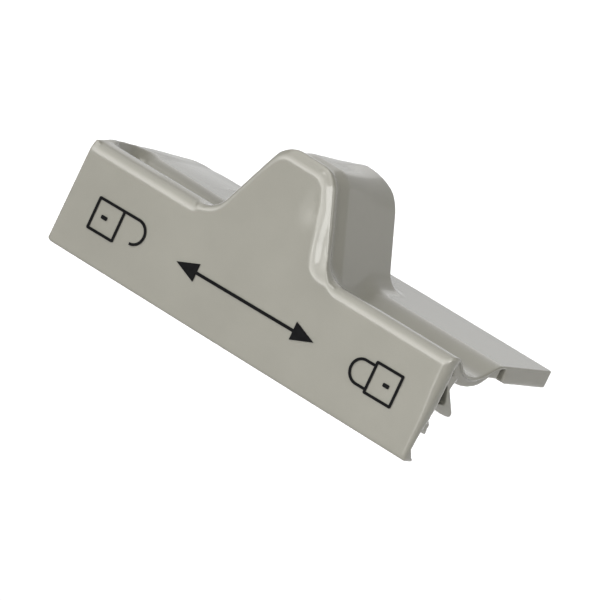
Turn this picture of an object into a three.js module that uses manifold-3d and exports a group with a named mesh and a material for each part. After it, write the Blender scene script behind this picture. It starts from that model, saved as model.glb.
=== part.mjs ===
// Slide latch for a stair gate.
//
// A moulded slide cover with a thumb hump rides along a guide base, which is bolted to the top rail
// of the gate. Pushing the cover to +X drives a round bolt out of the base into the keeper on the
// gate post, and brings the hooked right end of the cover over that keeper.
//
// Millimetres. X runs along the rail and +X locks. Y runs from the user's side to the back. Z is up.
// The sub-parts are drawn from the cover's lower front edge, and the last group moves them so that
// the origin is at the middle of the underside.

import * as THREE from 'three';
import * as BufferGeometryUtils from 'three/addons/utils/BufferGeometryUtils.js';
import Module from 'manifold-3d';

const wasm = await Module();
wasm.setup();

// ---------------------------------------------------------------- driving dimensions

const slideTravel = 14; // from unlocked to locked

const coverLength = 120;
const coverDepth = 51.2;
const ridgeHeight = 28.5; // top of the front plate
const ridgeRadius = 3.1; // front top edge of the plate
const rimRadius = 2.3; // front edge of the hump
const channelFloor = 24.1; // lowest line of the trough behind the ridge
const channelWall = 2.3;
const flangeTop = 28.05;
const flangeThickness = 3.95;

const humpHeight = 52.9;
const humpCentre = -1;
const humpHalfWidth = 18.55; // where its straight sides would meet the ridge
const humpSideAngle = THREE.MathUtils.degToRad(24.3); // from upright
const humpCornerRadius = 6.5;
const humpFootRadius = 5;
const humpRear = 34.3;
const humpInset = 0.4; // body of the hump inside the outline of its front plate
const humpWall = 4.2;

const baseDrop = 1; // base below the cover's lower edge
const baseLeft = -42.4;
const baseRight = 35;
const baseFront = 5.7;
const baseRear = 47;
const baseTop = 23.6;
const baseCornerRight = 30; // right end behind the cut-away rear corner
const baseCornerFront = 36.5;

const chamberLeft = -14.6; // room for the drive block and its travel
const chamberRight = 26.6;
const chamberFront = 10;
const chamberRear = 32;
const chamberTop = 18.8;

const blockLeft = -14;
const blockRight = 12;
const blockFront = 10.4;
const blockRear = 28.6;
const blockBottom = 1.2;
const blockTop = 18.4;

const boltRadius = 4;
const boltLeft = -8.4;
const boltRight = 43.6;
const boltDepth = 15.6; // Y of the bolt's axis
const boltHeight = 9.6; // Z of the bolt's axis
const noseRight = 43;

const plateThickness = 1.5; // closing plate under the chamber
const plateLeft = -18.6;
const plateRight = 31.4;
const plateFront = 7.4;
const plateRear = 34.8;

const springHeight = 6;
const springThickness = 0.5;
const detentPlace = 6; // X of the detent nose

const inkThickness = 0.12;
const inkStroke = 0.7;
const markHeight = 13.1; // middle line of the printed marks at X = 0
const markTilt = 0.0129; // the print runs slightly uphill to the right, in radians

// ---------------------------------------------------------------- materials

const moulded = (color) => new THREE.MeshStandardMaterial({ color, roughness: 0.32, metalness: 0 });
const metal = (color, roughness) => new THREE.MeshStandardMaterial({ color, roughness, metalness: 1 });

const coverPlastic = moulded(0xa09e95);
const basePlastic = moulded(0x6d6c68);
const nylon = moulded(0xe4e1d6);
const steel = metal(0xb9bcc0, 0.3);
const springSteel = metal(0x8f9296, 0.35);
const brass = metal(0xb08d4a, 0.4);
const ink = new THREE.MeshStandardMaterial({ color: 0x16171a, roughness: 0.55, metalness: 0 });

// ---------------------------------------------------------------- helpers

const axisX = new THREE.Vector3(1, 0, 0);
const axisY = new THREE.Vector3(0, 1, 0);
const axisZ = new THREE.Vector3(0, 0, 1);

// A closed geometry as a manifold solid.
function toSolid(geometry) {
  const bare = geometry.clone();
  bare.deleteAttribute('normal');
  bare.deleteAttribute('uv');
  const merged = BufferGeometryUtils.mergeVertices(bare, 1e-4);
  const triangles = [];
  const index = merged.index.array;
  for (let i = 0; i < index.length; i += 3) {
    const [a, b, c] = [index[i], index[i + 1], index[i + 2]];
    if (a !== b && b !== c && c !== a) triangles.push(a, b, c);
  }
  const vertProperties = new Float32Array(merged.attributes.position.array);
  const triVerts = new Uint32Array(triangles);
  return new wasm.Manifold(new wasm.Mesh({ numProp: 3, vertProperties, triVerts }));
}

// A manifold solid as a named mesh.
function toMesh(name, solid, material) {
  const data = solid.getMesh();
  const geometry = new THREE.BufferGeometry();
  geometry.setAttribute('position', new THREE.BufferAttribute(new Float32Array(data.vertProperties), 3));
  geometry.setIndex(new THREE.BufferAttribute(new Uint32Array(data.triVerts), 1));
  geometry.computeVertexNormals();
  const mesh = new THREE.Mesh(geometry, material);
  mesh.name = name;
  return mesh;
}

// The outline as straight segments, without the doubled points where a line meets an arc. The outer
// line runs one way round and its holes the other.
function toPolygon(outline, curveSegments) {
  const straighten = (path, clockwise) => {
    const points = path.getPoints(curveSegments);
    const apart = points.filter((point, i) => point.distanceTo(points.at(i - 1)) > 0.005);
    return THREE.ShapeUtils.isClockWise(apart) === clockwise ? apart : apart.reverse();
  };
  const straight = new THREE.Shape(straighten(outline, false));
  straight.holes = outline.holes.map((hole) => new THREE.Path(straighten(hole, true)));
  return straight;
}

// An outline drawn in (Y, Z), swept along X from left to right.
function alongX(outline, left, right, curveSegments = 8) {
  const geometry = new THREE.ExtrudeGeometry(toPolygon(outline, curveSegments), {
    depth: right - left,
    bevelEnabled: false,
  });
  geometry.applyMatrix4(new THREE.Matrix4().makeBasis(axisY, axisZ, axisX));
  geometry.translate(left, 0, 0);
  return toSolid(geometry);
}

// An outline drawn in (X, Z), swept along Y from front to rear, with both end edges rounded.
function alongY(outline, front, rear, rounding = 0, curveSegments = 6) {
  const geometry = new THREE.ExtrudeGeometry(toPolygon(outline, curveSegments), {
    depth: rear - front - 2 * rounding,
    bevelEnabled: rounding > 0,
    bevelThickness: rounding,
    bevelSize: rounding,
    bevelOffset: -rounding,
    bevelSegments: 3,
  });
  geometry.applyMatrix4(new THREE.Matrix4().makeBasis(axisX, axisZ, axisY.clone().negate()));
  geometry.translate(0, rear - rounding, 0);
  return toSolid(geometry);
}

// An outline drawn in (X, Y), swept along Z.
function alongZ(outline, bottom, top, curveSegments = 6) {
  const geometry = new THREE.ExtrudeGeometry(toPolygon(outline, curveSegments), {
    depth: top - bottom,
    bevelEnabled: false,
  });
  geometry.translate(0, 0, bottom);
  return toSolid(geometry);
}

// A block between two corners.
function block(low, high) {
  const size = high.map((value, i) => value - low[i]);
  const middle = high.map((value, i) => (value + low[i]) / 2);
  const geometry = new THREE.BoxGeometry(...size);
  geometry.translate(...middle);
  return toSolid(geometry);
}

// A turned piece: its profile is a list of [radius, place along the axis].
function turned(profile, axis, origin, segments = 24) {
  const points = profile.map(([radius, along]) => new THREE.Vector2(radius, along));
  const geometry = new THREE.LatheGeometry(points, segments);
  geometry.applyQuaternion(new THREE.Quaternion().setFromUnitVectors(axisY, axis));
  geometry.translate(...origin);
  return toSolid(geometry);
}

// A plain cylinder, used for bores and bosses.
function rod(radius, axis, origin, length, segments = 24) {
  const profile = [[0, 0], [radius, 0], [radius, length], [0, length]];
  return turned(profile, axis, origin, segments);
}

function polygon(points) {
  return new THREE.Shape(points.map(([a, b]) => new THREE.Vector2(a, b)));
}

function roundedRectangle(left, low, right, high, radius) {
  const shape = new THREE.Shape();
  shape.absarc(right - radius, high - radius, radius, 0, Math.PI / 2, false);
  shape.absarc(left + radius, high - radius, radius, Math.PI / 2, Math.PI, false);
  shape.absarc(left + radius, low + radius, radius, Math.PI, 1.5 * Math.PI, false);
  shape.absarc(right - radius, low + radius, radius, 1.5 * Math.PI, 2 * Math.PI, false);
  return shape;
}

// ---------------------------------------------------------------- slide cover

// Cross-section in (Y, Z): front plate with its lower lip, ridge, trough and rear flange.
function coverSection() {
  const shape = new THREE.Shape();
  const flangeBottom = flangeTop - flangeThickness;
  const troughMiddle = 15.2;
  const underTrough = channelFloor - channelWall;
  shape.moveTo(4.6, 0);
  shape.lineTo(0.6, 0);
  shape.quadraticCurveTo(0, 0, 0, 0.6);
  shape.lineTo(0, ridgeHeight - ridgeRadius);
  shape.absarc(ridgeRadius, ridgeHeight - ridgeRadius, ridgeRadius, Math.PI, Math.PI / 2, true);
  shape.bezierCurveTo(5.6, ridgeHeight, 6, 27.6, 7.4, 26.4);
  shape.bezierCurveTo(9.6, 24.6, 11.6, channelFloor, troughMiddle, channelFloor);
  shape.bezierCurveTo(20.4, channelFloor, 22.4, flangeTop - 0.15, 27, flangeTop);
  shape.lineTo(coverDepth - 1, flangeTop);
  shape.absarc(coverDepth - 1, flangeTop - 1, 1, Math.PI / 2, 0, true);
  shape.lineTo(coverDepth, flangeBottom + 0.9);
  shape.absarc(coverDepth - 0.9, flangeBottom + 0.9, 0.9, 0, -Math.PI / 2, true);
  shape.lineTo(30.5, flangeBottom);
  shape.lineTo(27.3, flangeBottom + 0.8);
  shape.lineTo(22.9, flangeBottom + 0.8);
  shape.bezierCurveTo(20.2, underTrough + 0.5, 17.2, underTrough, 14, underTrough);
  shape.bezierCurveTo(9.6, underTrough, 7.4, underTrough + 0.4, 5.4, underTrough + 2.6);
  shape.lineTo(4.9, 26.1);
  shape.lineTo(4.2, 26.3);
  shape.lineTo(3.9, 25.2);
  shape.splineThru([[4.1, 20.6], [3.95, 14.7], [3.4, 11.6], [2.4, 7.7], [1.88, 3.2]]
    .map(([depth, height]) => new THREE.Vector2(depth, height)));
  shape.lineTo(3.67, 1.05);
  shape.lineTo(4.8, 0.35);
  return shape;
}

// Seen from above: the corners of the cover, the left rear one with a wide radius.
function coverPlan() {
  const half = coverLength / 2;
  const frontRight = 2;
  const rearRight = 0.9;
  const rearLeft = 6;
  const frontLeft = 0.5;
  const shape = new THREE.Shape();
  shape.absarc(half - frontRight, frontRight, frontRight, -Math.PI / 2, 0, false);
  shape.absarc(half - rearRight, coverDepth - rearRight, rearRight, 0, Math.PI / 2, false);
  shape.absarc(rearLeft - half, coverDepth - rearLeft, rearLeft, Math.PI / 2, Math.PI, false);
  shape.absarc(frontLeft - half, frontLeft, frontLeft, Math.PI, 1.5 * Math.PI, false);
  return shape;
}

// Outline of the hump in (X, Z), drawn inside its front outline by inset. The plate in front flares
// out into the ridge with a fillet, and the body behind it goes straight down.
function humpOutline(inset, low, flared) {
  const top = humpHeight - inset;
  const radius = humpCornerRadius - inset;
  const sideAt = (height) =>
    humpHalfWidth - (height - ridgeHeight) * Math.tan(humpSideAngle) - inset / Math.cos(humpSideAngle);
  const turn = (Math.PI / 2 - humpSideAngle) / 2;
  const corner = sideAt(top) - radius * Math.tan(turn);
  const foot = humpHalfWidth + humpFootRadius * Math.tan(turn);
  const leftFoot = humpCentre - foot;
  const rightFoot = humpCentre + foot;
  const footMiddle = ridgeHeight + humpFootRadius;
  const shape = new THREE.Shape();
  if (flared) {
    shape.moveTo(leftFoot, low);
    shape.lineTo(leftFoot, ridgeHeight);
    shape.absarc(leftFoot, footMiddle, humpFootRadius, -Math.PI / 2, -humpSideAngle, false);
  } else {
    shape.moveTo(humpCentre - sideAt(low), low);
    shape.lineTo(humpCentre - sideAt(ridgeHeight), ridgeHeight);
  }
  shape.absarc(humpCentre - corner, top - radius, radius, Math.PI - humpSideAngle, Math.PI / 2, true);
  shape.absarc(humpCentre + corner, top - radius, radius, Math.PI / 2, humpSideAngle, true);
  if (flared) {
    shape.absarc(rightFoot, footMiddle, humpFootRadius, Math.PI + humpSideAngle, 1.5 * Math.PI, false);
    shape.lineTo(rightFoot, low);
  } else {
    shape.lineTo(humpCentre + sideAt(low), low);
  }
  return shape;
}

// The wall that closes the left end of the trough and of the space under the cover. It is thin at
// its top, which falls towards the rear.
function coverEndWall() {
  const left = -coverLength / 2;
  const bottom = 3;
  const top = ridgeHeight + 0.2;
  const thinTop = 0.9;
  const thickness = 3;
  const profile = polygon([
    [left, bottom], [left + thickness, bottom], [left + thickness, channelFloor - 1.4],
    [left + thinTop, top], [left, top],
  ]);
  const side = new THREE.Shape();
  side.moveTo(1, bottom);
  side.lineTo(1, top - 1.2);
  side.lineTo(ridgeRadius, top);
  side.lineTo(22, top);
  side.lineTo(coverDepth - 2, flangeTop - 0.6);
  side.lineTo(coverDepth - 2, channelFloor + 1);
  side.lineTo(baseRear, bottom + 3);
  side.lineTo(baseRear - 3, bottom);
  return alongY(profile, 0.5, coverDepth - 1).intersect(alongX(side, left - 1, left + thickness + 1));
}

// The hooked rail at the right end, which runs under the keeper's lip when the latch is locked.
function coverHook() {
  const hookLeft = coverLength / 2 - 13;
  const hookRight = coverLength / 2 - 0.6;
  const outline = polygon([
    [3.4, 24], [7.8, 23], [6.6, 20.5], [13, 14.3], [12.75, 13.1], [10.9, 13.3], [7.4, 13.9], [3.4, 14.8],
  ]);
  const core = polygon([[4.15, 21.3], [5.5, 20.6], [7.9, 16.7], [7.6, 16.3], [4.05, 16.3]]);
  outline.holes.push(core);
  return alongX(outline, hookLeft, hookRight);
}

// The small nib under the hook.
function coverNib() {
  const nibLeft = coverLength / 2 - 11;
  const nibRight = coverLength / 2 - 0.4;
  const outline = polygon([
    [2.8, 12], [3.5, 11.6], [5.5, 9.8], [5.1, 8.8], [5.66, 7.6], [5.1, 7.3], [1.8, 8],
  ]);
  return alongX(outline, nibLeft, nibRight);
}

// The two ledges inside the hump that the arms of the drive block snap over.
function coverLedges() {
  const ledgeOutline = (side) => polygon([
    [humpCentre + side * 8.7, 32.4], [humpCentre + side * 8.7, 31.2],
    [humpCentre + side * 11, 29.6], [humpCentre + side * 15, 29.6], [humpCentre + side * 15, 32.4],
  ]);
  const front = 14.4;
  const rear = 24.4;
  return alongY(ledgeOutline(-1), front, rear).add(alongY(ledgeOutline(1), front, rear));
}

function slideCover() {
  const half = coverLength / 2;
  const shell = alongX(coverSection(), -half, half, 8)
    .add(coverEndWall())
    .intersect(alongZ(coverPlan(), -1, humpHeight + 1));
  const bellPlate = alongY(humpOutline(0, ridgeHeight - 6, true), 0, 4.7, rimRadius);
  const humpLow = channelFloor - 0.1;
  const valley = alongY(humpOutline(1.4, humpLow, false), 3, 9);
  const body = alongY(humpOutline(humpInset, humpLow, false), 6, humpRear, 1.3);
  const hollow = alongY(humpOutline(humpWall, 10, false), 4.9, humpRear - humpWall + 1);
  const solid = shell
    .add(bellPlate)
    .add(valley)
    .add(body)
    .subtract(hollow)
    .add(coverLedges())
    .add(coverHook())
    .add(coverNib());
  return toMesh('slide_cover', solid, coverPlastic);
}

// ---------------------------------------------------------------- printed marks

// A thin layer of ink on the front face, from an outline in (X, Z) around the mark's own middle.
function inkLayer(outline, across, up) {
  const geometry = new THREE.ExtrudeGeometry(toPolygon(outline, 10), {
    depth: inkThickness,
    bevelEnabled: false,
  });
  geometry.applyMatrix4(new THREE.Matrix4().makeBasis(axisX, axisZ, axisY.clone().negate()));
  geometry.translate(across, 0, up);
  return toSolid(geometry);
}

// A padlock: a square frame with a shackle of half a circle and two legs. The shackle stands on
// the side given. When open it is pulled out and up, and its lower leg stops short of the frame.
function padlock(name, across, side, open) {
  const frameHalf = 4.15;
  const outer = frameHalf + inkStroke / 2;
  const inner = frameHalf - inkStroke / 2;
  const shackleRadius = 3.25;
  const shackleMiddle = open ? 9.1 : 7.3;
  const lift = open ? 0.9 : -0.15;
  const frame = roundedRectangle(-outer, -outer, outer, outer, 0.5);
  frame.holes.push(roundedRectangle(-inner, -inner, inner, inner, 0.15));
  const reach = shackleMiddle - frameHalf;
  const lowerReach = open ? 0 : reach;
  const shackle = new THREE.Shape();
  const wide = shackleRadius + inkStroke / 2;
  const narrow = shackleRadius - inkStroke / 2;
  shackle.moveTo(-reach, wide);
  shackle.lineTo(0, wide);
  shackle.absarc(0, 0, wide, Math.PI / 2, -Math.PI / 2, true);
  shackle.lineTo(-lowerReach, -wide);
  shackle.lineTo(-lowerReach, -narrow);
  shackle.absarc(0, 0, narrow, -Math.PI / 2, Math.PI / 2, false);
  shackle.lineTo(-reach, narrow);
  const drawn = new THREE.Shape(shackle.getPoints(12).map((p) => new THREE.Vector2(side * p.x, p.y)));
  const solid = inkLayer(frame, across, 0).add(inkLayer(drawn, across + side * shackleMiddle, lift));
  return toMesh(name, solid, ink);
}

// The keyhole is a short bar across the middle of the padlock.
function keyhole(name, across) {
  return toMesh(name, inkLayer(roundedRectangle(-0.95, -0.5, 0.95, 0.5, 0.3), across, 0), ink);
}

function slideArrow() {
  const tip = 22.85;
  const neck = 16.2;
  const headHalf = 2.45;
  const shaftHalf = 0.4;
  const outline = polygon([
    [-tip, 0], [-neck, headHalf], [-neck, shaftHalf], [neck, shaftHalf], [neck, headHalf],
    [tip, 0], [neck, -headHalf], [neck, -shaftHalf], [-neck, -shaftHalf], [-neck, -headHalf],
  ]);
  return toMesh('slide_arrow', inkLayer(outline, 0.2, 0), ink);
}

function printedMarks() {
  const marks = new THREE.Group();
  const unlockedPlace = -46.7;
  const lockedPlace = 46.2;
  const keyholeShift = 0.75;
  marks.add(padlock('unlocked_padlock', unlockedPlace, 1, true));
  marks.add(keyhole('unlocked_keyhole', unlockedPlace - keyholeShift));
  marks.add(padlock('locked_padlock', lockedPlace, -1, false));
  marks.add(keyhole('locked_keyhole', lockedPlace + keyholeShift));
  marks.add(slideArrow());
  marks.position.z = markHeight;
  marks.rotation.y = -markTilt;
  return marks;
}

// ---------------------------------------------------------------- guide base

const plateScrewPlaces = [
  [plateLeft + 2.2, plateFront + 2.8], [plateRight - 2.6, plateFront + 2.8],
  [plateLeft + 2.2, plateRear - 6], [plateRight - 2.6, plateRear - 6],
];
const insertPlaces = [[-30.4, 27], [20, 41]];
const insertLength = 8;
const insertRadius = 3;
const detentScrewPlace = [-10.4, chamberRear, 10];

// Cross-section in (Y, Z): a block whose top has a groove for the cover's trough.
function baseSection() {
  const grooveFloor = channelFloor - channelWall - 0.6;
  const shape = new THREE.Shape();
  shape.moveTo(baseFront, -baseDrop);
  shape.lineTo(baseFront, grooveFloor);
  shape.lineTo(14.6, grooveFloor);
  shape.quadraticCurveTo(19.4, grooveFloor, 23, baseTop);
  shape.lineTo(baseRear - 1, baseTop);
  shape.lineTo(baseRear, baseTop - 1);
  shape.lineTo(baseRear, -baseDrop);
  return shape;
}

function guideBase() {
  const under = -baseDrop - 1;
  const slotGap = 0.6;
  const slotRight = humpCentre + 8.2 + slideTravel + slotGap;
  const nose = roundedRectangle(boltDepth - 7.4, 1.4, boltDepth + 7.4, 17.8, 2.5);
  let solid = alongX(baseSection(), baseLeft, baseRight).add(alongX(nose, 30, noseRight));
  const cuts = [
    block([baseCornerRight, baseCornerFront, under], [baseRight + 1, baseRear + 1, baseTop + 1]),
    block([chamberLeft, chamberFront, under], [chamberRight, chamberRear, chamberTop]),
    block([plateLeft - 0.2, plateFront - 0.2, under], [plateRight + 0.2, plateRear + 0.2, 0.75]),
    block([humpCentre - 8.2 - slotGap, 13.4, chamberTop - 1], [slotRight, 24.6, baseTop + 1]),
    block([chamberLeft, plateRear + 2.6, under], [-2.6, baseRear - 2.4, chamberTop + 2]),
    block([-0.6, plateRear + 2.6, under], [11, baseRear - 2.4, chamberTop + 2]),
    rod(5.9, axisX, [chamberRight - 1, boltDepth, boltHeight], noseRight - chamberRight + 2, 32),
    rod(1.1, axisY, detentScrewPlace, 4, 12),
  ];
  for (const left of [-40, -29.4]) {
    for (const front of [chamberFront, 21.8, 33.6]) {
      cuts.push(block([left, front, under], [left + 8.6, front + 9.8, chamberTop]));
    }
  }
  for (const [x, y] of plateScrewPlaces) cuts.push(rod(1, axisZ, [x, y, 0], 5.8, 12));
  for (const cut of cuts) solid = solid.subtract(cut);
  const [bossX, bossY] = insertPlaces[0];
  solid = solid.add(rod(5.6, axisZ, [bossX, bossY, -baseDrop], chamberTop + baseDrop + 1));
  for (const [x, y] of insertPlaces) {
    solid = solid.subtract(rod(insertRadius + 0.1, axisZ, [x, y, under], insertLength + 2));
  }
  return toMesh('guide_base', solid, basePlastic);
}

function bottomPlate() {
  const bottom = 0.7 - plateThickness;
  let solid = alongZ(roundedRectangle(plateLeft, plateFront, plateRight, plateRear, 0.8), bottom, 0.7);
  for (const [x, y] of plateScrewPlaces) {
    solid = solid.subtract(rod(2.05, axisZ, [x, y, bottom - 1], 2.3, 20));
    solid = solid.subtract(rod(1.15, axisZ, [x, y, bottom - 1], 4, 20));
  }
  return toMesh('bottom_plate', solid, basePlastic);
}

function plateScrew(number, [x, y]) {
  const profile = [[0, -0.65], [1.7, -0.65], [1.9, -0.5], [1.9, 0.4], [0.9, 0.4], [0.9, 4.8], [0, 5.4]];
  const socket = rod(0.7, axisZ, [x, y, -2], 1.9, 6);
  const solid = turned(profile, axisZ, [x, y, 0], 20).subtract(socket);
  return toMesh(`plate_screw_${number}`, solid, steel);
}

// A brass insert with a thread for the screw that comes up through the rail.
function threadInsert(number, [x, y]) {
  const bore = 1.7;
  const bottom = -baseDrop + 0.05;
  const top = bottom + insertLength;
  const profile = [
    [bore, bottom], [insertRadius, bottom], [insertRadius, bottom + 3.2], [insertRadius - 0.4, bottom + 3.6],
    [insertRadius - 0.4, bottom + 4.6], [insertRadius, bottom + 5], [insertRadius, top], [bore, top],
    [bore, bottom],
  ];
  return toMesh(`thread_insert_${number}`, turned(profile, axisZ, [x, y, 0], 24), brass);
}

// A flanged bush in the nose of the base, in which the bolt slides.
function boltBush() {
  const bore = boltRadius + 0.25;
  const shell = 5.7;
  const left = chamberRight + 0.6;
  const profile = [
    [bore, left], [shell, left], [shell, noseRight + 0.1], [6.9, noseRight + 0.1], [6.9, noseRight + 1.1],
    [bore, noseRight + 1.1], [bore, left],
  ];
  return toMesh('bolt_bush', turned(profile, axisX, [0, boltDepth, boltHeight], 32), nylon);
}

// ---------------------------------------------------------------- detent

// A leaf spring screwed to the rear wall of the chamber, with a nose that drops in a notch of the
// drive block at each end of the travel.
function detentSpring() {
  const wall = chamberRear - 0.3;
  const clear = blockRear + 0.7;
  const path = [
    [-13.4, wall], [-7, wall], [-1, clear], [detentPlace - 2.4, clear], [detentPlace, blockRear - 1],
    [detentPlace + 2.4, clear], [13, clear], [19, wall], [24.6, wall],
  ];
  const front = path.map(([x, y]) => [x, y - springThickness / 2]);
  const rear = path.map(([x, y]) => [x, y + springThickness / 2]).reverse();
  const middle = detentScrewPlace[2];
  const hole = rod(1.2, axisY, [detentScrewPlace[0], wall - 2, middle], 4, 16);
  const strip = alongZ(polygon([...front, ...rear]), middle - springHeight / 2, middle + springHeight / 2);
  return toMesh('detent_spring', strip.subtract(hole), springSteel);
}

function detentScrew() {
  const seat = -0.6;
  const profile = [
    [0, seat - 1.3], [1.6, seat - 1.3], [2.2, seat - 0.8], [2.2, seat], [0.9, seat], [0.9, 3.4], [0, 3.8],
  ];
  const socket = rod(0.7, axisY, [detentScrewPlace[0], chamberRear + seat - 2, detentScrewPlace[2]], 1.3, 6);
  return toMesh('detent_screw', turned(profile, axisY, detentScrewPlace, 20).subtract(socket), steel);
}

// ---------------------------------------------------------------- bolt and its drive

// The block that carries the bolt. Its two arms reach up through the slot in the base and snap over
// the ledges inside the hump.
function driveBlock() {
  const armHalf = 8.2;
  const armThickness = 3.4;
  const armFront = 14;
  const armRear = 24;
  const ledgeTop = 32.4;
  let solid = block([blockLeft, blockFront, blockBottom], [blockRight, blockRear, blockTop]);
  for (const side of [-1, 1]) {
    const arm = polygon([
      [side * armHalf, blockTop - 1], [side * armHalf, ledgeTop + 0.4],
      [side * (armHalf + 1.3), ledgeTop + 0.4], [side * (armHalf + 1.3), ledgeTop + 1.2],
      [side * (armHalf - 1.6), ledgeTop + 4], [side * (armHalf - armThickness), ledgeTop + 4],
      [side * (armHalf - armThickness), blockTop - 1],
    ]);
    solid = solid.add(alongY(arm, armFront, armRear).translate([humpCentre, 0, 0]));
  }
  const notchHalf = 3;
  const notchDepth = 1.9;
  for (const place of [detentPlace, detentPlace - slideTravel]) {
    const notch = polygon([
      [place - notchHalf, blockRear + 0.1], [place, blockRear - notchDepth],
      [place + notchHalf, blockRear + 0.1],
    ]);
    solid = solid.subtract(alongZ(notch, blockBottom - 1, blockTop + 1));
  }
  solid = solid.subtract(rod(boltRadius + 0.1, axisX, [boltLeft - 0.3, boltDepth, boltHeight], 30, 32));
  solid = solid.subtract(rod(1.6, axisZ, [0, boltDepth, blockBottom - 1], 15.4, 20));
  return toMesh('drive_block', solid, nylon);
}

function lockingBolt() {
  const profile = [
    [0, boltLeft], [boltRadius - 0.6, boltLeft], [boltRadius, boltLeft + 0.6], [boltRadius, boltRight - 1.2],
    [boltRadius - 0.35, boltRight - 0.4], [boltRadius - 1.2, boltRight], [0, boltRight],
  ];
  const pinBore = rod(1.6, axisZ, [0, boltDepth, 0], 20, 20);
  const solid = turned(profile, axisX, [0, boltDepth, boltHeight], 32).subtract(pinBore);
  return toMesh('locking_bolt', solid, steel);
}

function boltPin() {
  const bottom = 2;
  const top = 15.2;
  const profile = [[0, bottom], [1.2, bottom], [1.5, bottom + 0.4], [1.5, top - 0.4], [1.2, top], [0, top]];
  return toMesh('bolt_pin', turned(profile, axisZ, [0, boltDepth, 0], 20), steel);
}

// ---------------------------------------------------------------- assembly

const base = new THREE.Group();
base.add(guideBase(), bottomPlate(), boltBush(), detentSpring(), detentScrew());
plateScrewPlaces.forEach((place, i) => base.add(plateScrew(i + 1, place)));
insertPlaces.forEach((place, i) => base.add(threadInsert(i + 1, place)));

const slider = new THREE.Group();
slider.add(slideCover(), printedMarks(), driveBlock(), lockingBolt(), boltPin());

const latch = new THREE.Group();
latch.name = 'stair_gate_latch';
latch.add(base, slider);
latch.position.set(0, -(coverDepth - inkThickness) / 2, baseDrop);

export default latch;
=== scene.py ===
"""Looks of a stair gate slide latch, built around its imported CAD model.

The visible shells are drawn as distance fields in millimetres, in the frame of the slide cover: X along the
rail, Y back from the cover's front face, Z up from its lower edge. A mesh is wrapped on each field, drawn
tight to it, and moved to the row frame.
"""

import math

import bpy
import numpy as np
from mathutils import Matrix, Vector


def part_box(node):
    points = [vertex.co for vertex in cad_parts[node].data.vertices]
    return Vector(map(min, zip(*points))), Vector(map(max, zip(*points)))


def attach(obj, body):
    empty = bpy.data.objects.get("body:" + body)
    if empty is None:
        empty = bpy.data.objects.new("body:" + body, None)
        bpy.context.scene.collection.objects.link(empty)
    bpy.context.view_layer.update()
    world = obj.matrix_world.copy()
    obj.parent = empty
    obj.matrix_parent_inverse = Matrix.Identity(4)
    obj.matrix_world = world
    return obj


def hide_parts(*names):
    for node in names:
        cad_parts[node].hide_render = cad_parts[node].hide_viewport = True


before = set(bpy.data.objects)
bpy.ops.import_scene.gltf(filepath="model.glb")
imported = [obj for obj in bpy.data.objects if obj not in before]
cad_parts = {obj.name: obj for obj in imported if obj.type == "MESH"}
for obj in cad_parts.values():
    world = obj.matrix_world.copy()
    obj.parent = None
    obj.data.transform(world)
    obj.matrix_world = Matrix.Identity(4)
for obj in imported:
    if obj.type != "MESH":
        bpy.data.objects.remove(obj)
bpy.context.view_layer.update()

MM = 0.001
scene = bpy.context.scene
scene.view_settings.view_transform = "Standard"
scene.view_settings.gamma = 0.8

# ---------------------------------------------------------------- sizes, in millimetres

cover_low, cover_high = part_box("slide_cover")
cover_corner = Vector((0, cover_low.y, cover_low.z))
length, depth, _ = (cover_high - cover_low) / MM
edge_overhang = 0.3
half_length = length / 2 + edge_overhang

ridge_height = 28.5
ridge_radius = 3.1
rim_radius = 2.9
rim_depth = 4.2
trough_floor = 24.1
trough_wall = 2.3
flange_top = 28.05
flange_thickness = 3.95

hump_centre = -1.25
hump_half_width = 18.8
hump_side_angle = math.radians(24.3)
hump_corner_radius = 6.5
left_foot_radius = 8
right_foot_radius = 5.5
hump_rear = 34.3
hump_inset = 0.4
hump_top = 54
rim_top = 52.5
hump_wall = 4.2
valley_depth = 0.9
hump_rear_slope = 7
end_recess = 0.9
sink_depth = 0.45

# how the cover's top departs from its plain section at the left end, the rear edge and the open end
left_crest_rise = 1.1
left_trough_rise = 0.3
left_trough_shift = 3.2
left_corner_droop = 1.3
rear_edge_rise = 0.2
right_rear_rise = 0.3
open_end_thickening = 0.75

# the spring's nose stands in one of the drive block's two notches at each end of the travel
slide_travel = 14
detent_place = 6
notch_slope = 0.7

end_wall_height = 28.75
slot_front = 27.2
slot_rear = 28.4
ledge_top = 32.4
rail_length = 13
nib_length = 11

# the mechanism under the cover, whose cuts from below start at below_base
bolt_radius = 4
pin_radius = 1.5
bush_radius = 5.7
bush_flange_radius = 6.9
insert_radius = 3
insert_bore_radius = 1.95
spring_thickness = 0.5
bore_clearance = 0.1
below_base = -4


def to_row(point):
    """A point of the cover's frame, in millimetres, as a point of the row frame, in metres."""
    return cover_corner + Vector(point) * MM


# ---------------------------------------------------------------- camera

view_azimuth = math.radians(29.851)
view_elevation = math.radians(10.184)
view_roll = math.radians(25.733)
view_distance = 1.7547
view_aim = to_row((14.38, 0, 20.86))
lens_mm = 423.92


def make_camera():
    data = bpy.data.cameras.new("camera")
    data.lens = lens_mm
    data.sensor_width = 36
    data.clip_end = 50
    camera = bpy.data.objects.new("camera", data)
    scene.collection.objects.link(camera)
    back = Vector((
        math.sin(view_azimuth) * math.cos(view_elevation),
        -math.cos(view_azimuth) * math.cos(view_elevation),
        math.sin(view_elevation),
    ))
    right = (-back).cross(Vector((0, 0, 1))).normalized()
    up = right.cross(-back)
    turned_right = math.cos(view_roll) * right + math.sin(view_roll) * up
    turned_up = -math.sin(view_roll) * right + math.cos(view_roll) * up
    turn = Matrix((turned_right, turned_up, back)).transposed().to_4x4()
    camera.matrix_world = Matrix.Translation(view_aim + view_distance * back) @ turn
    scene.camera = camera


make_camera()

# ---------------------------------------------------------------- distance fields


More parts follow.
